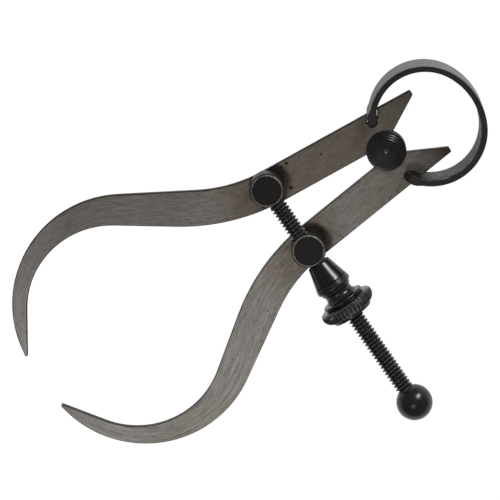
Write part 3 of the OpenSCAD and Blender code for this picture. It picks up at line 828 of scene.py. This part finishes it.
def make_roller():
    """The spool that the legs turn on: two flanges, the front one slightly domed with turned steps."""
    flange = ROLLER_HIGH.x
    core = 2.6 * MM
    back = 1.3 * MM
    front = LEG_HIGH.z + 0.03 * MM
    top = ROLLER_HIGH.z
    ease = 0.18 * MM
    corner = 0.1 * MM
    dome = 0.2 * MM
    step = 0.12 * MM
    step_width = 0.2 * MM
    step_radii = (4.55 * MM, 3.95 * MM, 3.35 * MM)
    dome_radii = (2.8 * MM, 2.2 * MM, 1.6 * MM, 1.1 * MM, 0.6 * MM)
    centre_mark = [(0.5 * MM, top), (0.3 * MM, top - 0.16 * MM), (0.0, top - 0.2 * MM)]
    rim_level = top - dome - step * len(step_radii)
    low_rim = arc_points((flange - ease, ease), ease, -90, 0, 5)
    high_rim = arc_points((flange - ease, rim_level - ease), ease, 0, 90, 5)
    profile = [(0.0, 0.0)] + low_rim
    profile += [(flange, back - corner), (flange - corner, back), (core, back), (core, front)]
    profile += [(flange - corner, front), (flange, front + corner)] + high_rim
    for number, radius in enumerate(step_radii):
        level = step * (len(step_radii) - number)
        foot = radius + step_width / 2
        brow = radius - step_width / 2
        profile.append((foot, top - level - dome * (foot / flange) ** 2))
        profile.append((brow, top - level + step - dome * (brow / flange) ** 2))
    for radius in dome_radii:
        profile.append((radius, top - dome * (radius / flange) ** 2))
    shape = turned(profile + centre_mark, 96)
    piece = show("fulcrum_spool", shape, [ROLLER_BLACK], "fulcrum_roller")
    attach(piece, "roller")


def make_fitting(node, body, material, bevel):
    """A post or washer with eased edges."""
    piece = show(node + "_turned", cad_shape(node, bevel), [material], node, True)
    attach(piece, body)


def make_screw():
    """The adjusting screw: plain spigot in the anchor post, cut thread, and ball end."""
    thread_from = 4.9 * MM
    ball_at = BALL_Y - ANCHOR.y
    length = ball_at - thread_from
    rings = int(length / THREAD_PITCH * THREAD_RINGS_PER_TURN)
    wall = grown("thread_wall", thread_tree(), {
        "Length": length, "Pitch": THREAD_PITCH, "Crest": THREAD_CREST, "Root": THREAD_CREST - THREAD_DEPTH,
        "Segments": THREAD_SEGMENTS + 1, "Rings": rings + 1, "Finish": SCREW_BLACK})
    shape = bmesh.new()
    shape.from_mesh(wall)
    bmesh.ops.holes_fill(shape, edges=[e for e in shape.edges if e.is_boundary], sides=0)
    bmesh.ops.translate(shape, verts=shape.verts, vec=(0.0, 0.0, thread_from))
    bmesh.ops.recalc_face_normals(shape, faces=shape.faces)
    spigot = [(0.0, -2.5 * MM), (1.9 * MM, -2.5 * MM), (1.9 * MM, 4.7 * MM), (2.15 * MM, 4.8 * MM),
              (THREAD_CREST - 0.1 * MM, 5.0 * MM), (0.0, 5.0 * MM)]
    ball = [(0.0, ball_at - BALL_RADIUS)]
    ball += arc_points((0.0, ball_at), BALL_RADIUS, -87, 87, 30)
    ball += [(0.0, ball_at + BALL_RADIUS)]
    for profile, segments in ((spigot, 48), (ball, 64)):
        mesh = mesh_of("screw_extra", turned(profile, segments))
        shape.from_mesh(mesh)
        bpy.data.meshes.remove(mesh)
    bmesh.ops.transform(shape, matrix=on_screw(ANCHOR.y), verts=shape.verts)
    piece = show("threaded_screw", shape, [SCREW_BLACK], "adjusting_screw")
    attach(piece, "screw")


def make_sleeve():
    """The cone-shaped thrust sleeve between the guide post and the nut."""
    bore = BORE * MM
    length = SLEEVE_HIGH.y - SLEEVE_LOW.y
    small = 3.15 * MM
    small_ease = 0.15 * MM
    large = (SLEEVE_HIGH.x - SLEEVE_LOW.x) / 2
    large_ease = 0.2 * MM
    profile = [(bore, 0.0), (small - small_ease, 0.0), (small, small_ease)]
    profile += [(large - 0.03 * MM, length - large_ease), (large - large_ease, length), (bore, length)]
    shape = turned(profile, 96)
    bmesh.ops.transform(shape, matrix=on_screw(SLEEVE_LOW.y), verts=shape.verts)
    piece = show("thrust_cone", shape, [SLEEVE_BLACK], "thrust_sleeve")
    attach(piece, "guide")


def make_nut():
    """The nut: bead, hollow neck, shoulder ring, knurled wheel and lip, from points in millimetres."""
    profile = [(BORE, 0.0), (4.58, 0.0), (4.7, 0.12), (4.92, 1.2)]
    profile += arc_points((4.5, 1.5), 0.45, 0, 75, 5)
    profile += [(4.42, 2.1), (4.36, 2.3)]
    # The neck
    profile += arc_points((5.3, 3.75), 1.5, 228, 140, 10)
    profile += [(4.25, 4.9), (4.6, 5.2), (5.2, 5.34)]
    # The shoulder ring
    profile += arc_points((5.4, 5.78), 0.45, -80, 70, 6)
    profile += [(5.4, 6.28), (5.4, 6.45), (5.9, 6.52), (6.6, 6.6)]
    # The wheel
    profile += arc_points((6.75, 7.55), 0.95, -78, 0, 7)
    profile += [(7.7, 8.0), (7.62, 8.5)]
    profile += [(7.3, 9.1), (6.9, 9.6), (6.5, 9.88), (5.8, 9.95), (5.66, 10.04)]
    # The lip
    profile += arc_points((5.4, 10.55), 0.3, -10, 90, 4)
    profile += [(3.6, 10.88), (3.2, 11.0), (2.75, 11.15), (BORE, 11.15)]
    points = [(radius * MM, height * MM) for radius, height in profile]
    blank = mesh_of("nut_blank", turned(points, KNURL_TEETH * KNURL_STEPS_PER_TOOTH))
    pressed = grown("nut_press", knurl_tree(), {
        "Teeth": float(KNURL_TEETH), "Depth": KNURL_DEPTH, "Foot": 6.35 * MM, "Rim": 6.8 * MM,
        "From": 7.0 * MM, "Finish": NUT_BLACK}, blank)
    shape = bmesh.new()
    shape.from_mesh(pressed)
    bmesh.ops.transform(shape, matrix=on_screw(NUT_LOW.y), verts=shape.verts)
    piece = show("knurled_wheel_nut", shape, [NUT_BLACK], "knurled_nut")
    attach(piece, "nut")


def view_axes():
    """The photograph's right, up and back directions in the part's frame, and the camera's place."""
    lean = math.radians(VIEW_LEAN)
    lean_heading = math.radians(VIEW_LEAN_HEADING)
    heading = math.radians(VIEW_HEADING)
    facing = Vector((math.sin(lean) * math.cos(lean_heading), math.sin(lean) * math.sin(lean_heading),
                     -math.cos(lean)))
    level = Vector((1.0, 0.0, 0.0))
    level = (level - level.dot(facing) * facing).normalized()
    down = facing.cross(level)
    if down.y < 0:
        down = -down
    x_way = math.cos(heading) * level + math.sin(heading) * down
    y_way = math.sin(heading) * level - math.cos(heading) * down
    middle = IMAGE_SIZE / 2
    ray = Vector((FULCRUM_PIXEL[0] - middle, FULCRUM_PIXEL[1] - middle, VIEW_DISTANCE))
    fulcrum = ray * (VIEW_DISTANCE * facing.z / facing.dot(ray))
    right = Vector((x_way.x, y_way.x, facing.x))
    up = -Vector((x_way.y, y_way.y, facing.y))
    back = -Vector((x_way.z, y_way.z, facing.z))
    offset = Vector((fulcrum.dot(x_way), fulcrum.dot(y_way), fulcrum.dot(facing)))
    eye = Vector((0.0, 0.0, LEG_MIDDLE)) - offset * PIXEL * MM
    return right, up, back, eye


def add_camera():
    """A camera where the photograph was taken from."""
    right, up, back, eye = view_axes()
    data = bpy.data.cameras.new("photo_camera")
    data.sensor_width = SENSOR
    data.lens = SENSOR * VIEW_DISTANCE / IMAGE_SIZE
    camera = bpy.data.objects.new("photo_camera", data)
    camera.matrix_world = Matrix.Translation(eye) @ Matrix((right, up, back)).transposed().to_4x4()
    bpy.context.scene.collection.objects.link(camera)
    bpy.context.scene.camera = camera


def add_softbox(name, way, distance, width, height, power):
    """A soft lamp that faces the middle of the part; way is (right, up, back) in the photograph."""
    right, up, back = view_axes()[:3]
    middle = (CAD_LOW + CAD_HIGH) / 2
    aim = (right * way[0] + up * way[1] + back * way[2]).normalized()
    data = bpy.data.lights.new(name, "AREA")
    data.shape = "RECTANGLE"
    data.size = width
    data.size_y = height
    data.energy = power
    lamp = bpy.data.objects.new(name, data)
    lamp.location = middle + aim * distance
    lamp.rotation_mode = "QUATERNION"
    lamp.rotation_quaternion = aim.to_track_quat("Z", "Y")
    bpy.context.scene.collection.objects.link(lamp)


def add_floor():
    """A plain white floor under the part, which looks white and keeps a faint shadow."""
    material, tree = new_material("white_card")
    ray = add(tree, "ShaderNodeLightPath").outputs
    seen = add(tree, "ShaderNodeMath", {"operation": "MAXIMUM"},
               {0: ray["Is Camera Ray"], 1: ray["Is Glossy Ray"]})
    shown = add(tree, "ShaderNodeMath", {"operation": "MAXIMUM"},
                {0: seen.outputs[0], 1: ray["Is Transmission Ray"]})
    share = add(tree, "ShaderNodeMath", {"operation": "MULTIPLY", 1: FLOOR_GLOW_SHARE}, {0: shown.outputs[0]})
    matt = add(tree, "ShaderNodeBsdfDiffuse", {"Color": linear("#F4F4F3")})
    glow = add(tree, "ShaderNodeEmission", {"Color": linear("#FFFFFF"), "Strength": FLOOR_GLOW})
    both = add(tree, "ShaderNodeMixShader", None,
               {0: share.outputs[0], 1: matt.outputs[0], 2: glow.outputs[0]})
    add(tree, "ShaderNodeOutputMaterial", None, {"Surface": both.outputs[0]})
    level = CAD_LOW.z - FLOOR_GAP
    corners = []
    for x, y in ((-1, -1), (1, -1), (1, 1), (-1, 1)):
        corners.append((x * FLOOR_SIZE, y * FLOOR_SIZE, level))
    mesh = bpy.data.meshes.new("floor")
    mesh.from_pydata(corners, [], [(0, 1, 2, 3)])
    mesh.materials.append(material)
    floor = bpy.data.objects.new("floor", mesh)
    bpy.context.scene.collection.objects.link(floor)


def add_world():
    """An even pale studio all round."""
    world = bpy.data.worlds.new("pale_studio")
    world.use_nodes = True
    tree = world.node_tree
    tree.nodes.clear()
    sky = add(tree, "ShaderNodeBackground", {"Color": linear("#F2F2F2"), "Strength": STUDIO_LIGHT})
    add(tree, "ShaderNodeOutputWorld", None, {"Surface": sky.outputs[0]})
    bpy.context.scene.world = world


LEG_EDGE = edge_steel("filed_steel_edge", "#2A2521", "#110F0D")
WASHER_STEEL = edge_steel("bare_steel_washer", "#8D8882", "#4F4A45")
ROLLER_BLACK = black_oxide("black_oxide_spool", DEEP_BLACK, Vector((0.0, 0.0, 0.0)), UPRIGHT,
                           ring_width=0.62 * MM, ring_share=0.1, rough_range=(0.26, 0.34), gloss=0.32,
                           worn=(0.4 * MM, 0.22 * MM, 0.7))
ANCHOR_BLACK = black_oxide("black_oxide_anchor_post", WORN_BLACK, ANCHOR, UPRIGHT,
                           ring_width=0.62 * MM, ring_share=0.3, rough_range=(0.4, 0.55), gloss=0.14,
                           worn=(4.12 * MM, 0.26 * MM, 0.7))
GUIDE_BLACK = black_oxide("black_oxide_guide_post", WORN_BLACK, GUIDE, UPRIGHT,
                          ring_width=0.62 * MM, ring_share=0.3, rough_range=(0.4, 0.55), gloss=0.16,
                          worn=(4.12 * MM, 0.26 * MM, 0.8))
SCREW_BLACK = black_oxide("black_oxide_thread", WORN_BLACK, SCREW_AXIS, ALONG_SCREW,
                          ring_width=0.7 * MM, ring_share=0.1, rough_range=(0.2, 0.32), gloss=0.35,
                          worn=(THREAD_CREST, 0.14 * MM, 0.22))
SLEEVE_BLACK = black_oxide("black_oxide_cone", DEEP_BLACK, SCREW_AXIS, ALONG_SCREW,
                           ring_width=0.7 * MM, ring_share=0.06, rough_range=(0.19, 0.27), gloss=0.4)
NUT_BLACK = black_oxide("black_oxide_nut", WORN_BLACK, SCREW_AXIS, ALONG_SCREW,
                        ring_width=0.7 * MM, ring_share=0.1, rough_range=(0.22, 0.34), gloss=0.42,
                        worn=(7.5 * MM, 0.3 * MM, 0.15))

make_leg("leg_upper", "upper_leg", -1, ANCHOR, light="#9E9892", dark="#413D3A", stain=0.58,
         stain_reach=50 * MM, horn=0.4, tip=0.4)
make_leg("leg_lower", "lower_leg", 1, GUIDE, light="#AFAAA4", dark="#4B4844", stain=0.52,
         stain_reach=21 * MM, horn=0.9, tip=0.12)
make_bow()
make_roller()
make_fitting("anchor_post", "screw", ANCHOR_BLACK, 0.12 * MM)
make_fitting("anchor_washer", "screw", WASHER_STEEL, 0.1 * MM)
make_fitting("guide_post", "guide", GUIDE_BLACK, 0.12 * MM)
make_fitting("guide_washer", "guide", WASHER_STEEL, 0.1 * MM)
make_screw()
make_sleeve()
make_nut()

add_camera()
add_world()
add_floor()
add_softbox("front_lamp", way=(-0.05, -0.5, 0.86), distance=0.35, width=0.06, height=0.06, power=0.135)
add_softbox("window_box", way=(0.41, 0.61, 0.68), distance=0.7, width=0.14, height=0.3, power=3.6)
bpy.context.scene.view_settings.view_transform = "Standard"
